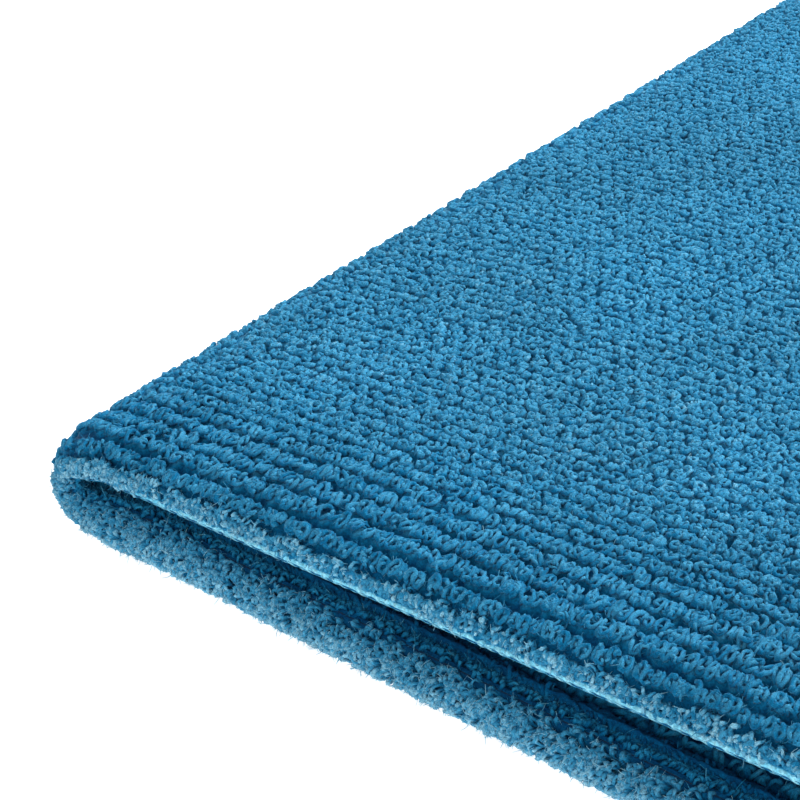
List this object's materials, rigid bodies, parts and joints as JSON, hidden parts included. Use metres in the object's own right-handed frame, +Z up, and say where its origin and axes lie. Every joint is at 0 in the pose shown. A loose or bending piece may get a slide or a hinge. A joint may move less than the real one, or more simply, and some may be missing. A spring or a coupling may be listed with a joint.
{
  "type": "folded microfibre polishing cloth",
  "caption": "Double-sided looped microfibre cloth for polishing, with a fused edge and no hem, folded once so that it opens flat.",
  "frame": {"origin": "middle of the folded cloth's outline, on the surface that it lies on", "axes": "+X from the fold to the open side, +Y along the fold from the front cut edge to the back, +Z up through the two leaves"},
  "size_m": [0.15, 0.3, 0.006],
  "materials": {
    "outer_pile": "matte",
    "inner_pile": "matte",
    "ground_knit": "matte",
    "fused_rim": "matte"
  },
  "bodies": {
    "lower_leaf": {"lower_outer_pile": "outer_pile", "lower_ground_knit": "ground_knit", "lower_inner_pile": "inner_pile", "lower_front_rim": "fused_rim", "lower_back_rim": "fused_rim", "lower_side_rim": "fused_rim"},
    "fold_band": {"fold_outer_pile": "outer_pile", "fold_ground_knit": "ground_knit", "fold_inner_pile": "inner_pile", "fold_front_rim": "fused_rim", "fold_back_rim": "fused_rim"},
    "upper_leaf": {"upper_outer_pile": "outer_pile", "upper_ground_knit": "ground_knit", "upper_inner_pile": "inner_pile", "upper_front_rim": "fused_rim", "upper_back_rim": "fused_rim", "upper_side_rim": "fused_rim"}
  },
  "joints": [
    {"name": "lower_fold", "type": "hinge", "parent": "lower_leaf", "child": "fold_band", "pos_m": [-0.0735, 0, 0.00155], "axis": [0, -1, 0], "range_deg": [0, 90]},
    {"name": "upper_fold", "type": "hinge", "parent": "fold_band", "child": "upper_leaf", "pos_m": [-0.0735, 0, 0.00445], "axis": [0, -1, 0], "range_deg": [0, 90]}
  ],
  "couplings": [
    {"joint": "upper_fold", "follows": "lower_fold", "ratio": 1}
  ]
}
